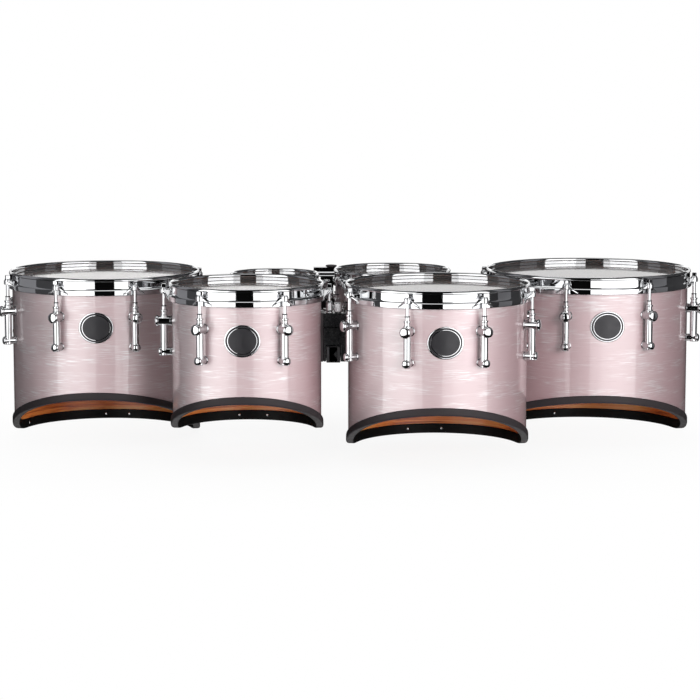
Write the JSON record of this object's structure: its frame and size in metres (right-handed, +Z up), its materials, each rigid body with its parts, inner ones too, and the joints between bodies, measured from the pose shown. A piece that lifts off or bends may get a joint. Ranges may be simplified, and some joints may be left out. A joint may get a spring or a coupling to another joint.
{
  "type": "marching tenor drums",
  "caption": "Marching tenor drum set: big single-headed drums with scooped fronts, small drums behind them, tube lugs, winged rims and a carrier rack.",
  "frame": {"origin": "middle of the outer box, on the surface that the set stands on", "axes": "+Z up; -Y towards the audience, where the shells are scooped; +X to the right as the audience sees the set"},
  "size_m": [1.2534, 0.6276, 0.3],
  "materials": {
    "pearl_shell": "ply shell in a gloss pink pearl wrap",
    "drum_film": "smooth drum film, semi gloss",
    "chrome": "bright chrome plate",
    "black_rubber": "moulded black rubber",
    "badge_plate": "dark plate with a bright border",
    "black_metal": "satin black powder coat"
  },
  "bodies": {
    "rack": {"shell_10": "pearl_shell", "head_10": "drum_film", "guard_10": "black_rubber", "badge_10": "badge_plate", "shell_12": "pearl_shell", "head_12": "drum_film", "guard_12": "black_rubber", "badge_12": "badge_plate", "shell_13": "pearl_shell", "head_13": "drum_film", "guard_13": "black_rubber", "badge_13": "badge_plate", "shell_14": "pearl_shell", "head_14": "drum_film", "guard_14": "black_rubber", "badge_14": "badge_plate", "front_block_upper": "black_metal", "front_block_lower": "black_metal", "front_pad_10": "black_rubber", "front_pad_12": "black_rubber", "rack_nut": "chrome", "spine_tube": "black_metal", "crossbar": "black_metal", "rear_arm": "black_metal", "rear_bar": "black_metal", "end_bracket_13": "black_metal", "end_bracket_14": "black_metal", "end_pad_13": "black_rubber", "end_pad_14": "black_rubber", "small_post": "chrome", "stop_collar": "chrome", "socket_left": "black_metal", "socket_right": "black_metal", "carrier_upright": "black_metal", "hook_bar": "chrome"},
    "small_drums": {"shell_6": "pearl_shell", "head_6": "drum_film", "shell_8": "pearl_shell", "head_8": "drum_film", "small_clamp": "black_metal", "small_pad_6": "black_rubber", "small_pad_8": "black_rubber"},
    "rim_10": {"rim_10": "chrome"},
    "rim_12": {"rim_12": "chrome"},
    "rim_13": {"rim_13": "chrome"},
    "rim_14": {"rim_14": "chrome"},
    "rim_6": {"rim_6": "chrome"},
    "rim_8": {"rim_8": "chrome"},
    "tuning_rod_10": {"tuning_rod_10": "chrome"},
    "tuning_rod_12": {"tuning_rod_12": "chrome"},
    "tuning_rod_13": {"tuning_rod_13": "chrome"},
    "tuning_rod_14": {"tuning_rod_14": "chrome"},
    "tuning_rod_6": {"tuning_rod_6": "chrome"},
    "tuning_rod_8": {"tuning_rod_8": "chrome"},
    "block_knob": {"block_knob": "chrome"},
    "height_screw": {"height_screw": "chrome"},
    "socket_screw_left": {"socket_screw_left": "chrome"},
    "socket_screw_right": {"socket_screw_right": "chrome"},
    "hook_knob": {"hook_knob": "black_rubber"}
  },
  "joints": [
    {"name": "small_drums_height", "type": "slide", "parent": "rack", "child": "small_drums", "axis": [0, 0, 1], "range_m": [0, 0.025]},
    {"name": "rim_10_lift", "type": "slide", "parent": "rack", "child": "rim_10", "axis": [0, 0, 1], "range_m": [0, 0.038]},
    {"name": "rim_12_lift", "type": "slide", "parent": "rack", "child": "rim_12", "axis": [0, 0, 1], "range_m": [0, 0.038]},
    {"name": "rim_13_lift", "type": "slide", "parent": "rack", "child": "rim_13", "axis": [0, 0, 1], "range_m": [0, 0.038]},
    {"name": "rim_14_lift", "type": "slide", "parent": "rack", "child": "rim_14", "axis": [0, 0, 1], "range_m": [0, 0.038]},
    {"name": "rim_6_lift", "type": "slide", "parent": "small_drums", "child": "rim_6", "axis": [0, 0, 1], "range_m": [0, 0.038]},
    {"name": "rim_8_lift", "type": "slide", "parent": "small_drums", "child": "rim_8", "axis": [0, 0, 1], "range_m": [0, 0.038]},
    {"name": "tuning_rod_10_turn", "type": "hinge", "parent": "rim_10", "child": "tuning_rod_10", "pos_m": [-0.25148, -0.26002, 0.25575], "axis": [0, 0, 1], "range_deg": [-360, 360]},
    {"name": "tuning_rod_12_turn", "type": "hinge", "parent": "rim_12", "child": "tuning_rod_12", "pos_m": [0.09126, -0.29611, 0.25575], "axis": [0, 0, 1], "range_deg": [-360, 360]},
    {"name": "tuning_rod_13_turn", "type": "hinge", "parent": "rim_13", "child": "tuning_rod_13", "pos_m": [-0.51194, -0.06475, 0.25275], "axis": [0, 0, 1], "range_deg": [-360, 360]},
    {"name": "tuning_rod_14_turn", "type": "hinge", "parent": "rim_14", "child": "tuning_rod_14", "pos_m": [0.37029, -0.07788, 0.25575], "axis": [0, 0, 1], "range_deg": [-360, 360]},
    {"name": "tuning_rod_6_turn", "type": "hinge", "parent": "rim_6", "child": "tuning_rod_6", "pos_m": [-0.07678, 0.11706, 0.23875], "axis": [0, 0, 1], "range_deg": [-360, 360]},
    {"name": "tuning_rod_8_turn", "type": "hinge", "parent": "rim_8", "child": "tuning_rod_8", "pos_m": [0.07424, 0.06524, 0.24675], "axis": [0, 0, 1], "range_deg": [-360, 360]},
    {"name": "block_knob_turn", "type": "hinge", "parent": "rack", "child": "block_knob", "pos_m": [-0.02336, -0.14162, 0.24465], "axis": [0, 0, 1], "range_deg": [-360, 360]},
    {"name": "height_screw_turn", "type": "hinge", "parent": "small_drums", "child": "height_screw", "pos_m": [-0.04586, 0.20464, 0.22], "axis": [0, 1, 0], "range_deg": [-360, 360]},
    {"name": "socket_screw_left_turn", "type": "hinge", "parent": "rack", "child": "socket_screw_left", "pos_m": [-0.10616, 0.30209, 0.1824], "axis": [0, 1, 0], "range_deg": [-360, 360]},
    {"name": "socket_screw_right_turn", "type": "hinge", "parent": "rack", "child": "socket_screw_right", "pos_m": [0.01444, 0.30209, 0.1824], "axis": [0, 1, 0], "range_deg": [-360, 360]},
    {"name": "hook_knob_turn", "type": "hinge", "parent": "rack", "child": "hook_knob", "pos_m": [-0.03786, 0.28584, 0.2853], "axis": [0, 0, 1], "range_deg": [-360, 360]}
  ]
}
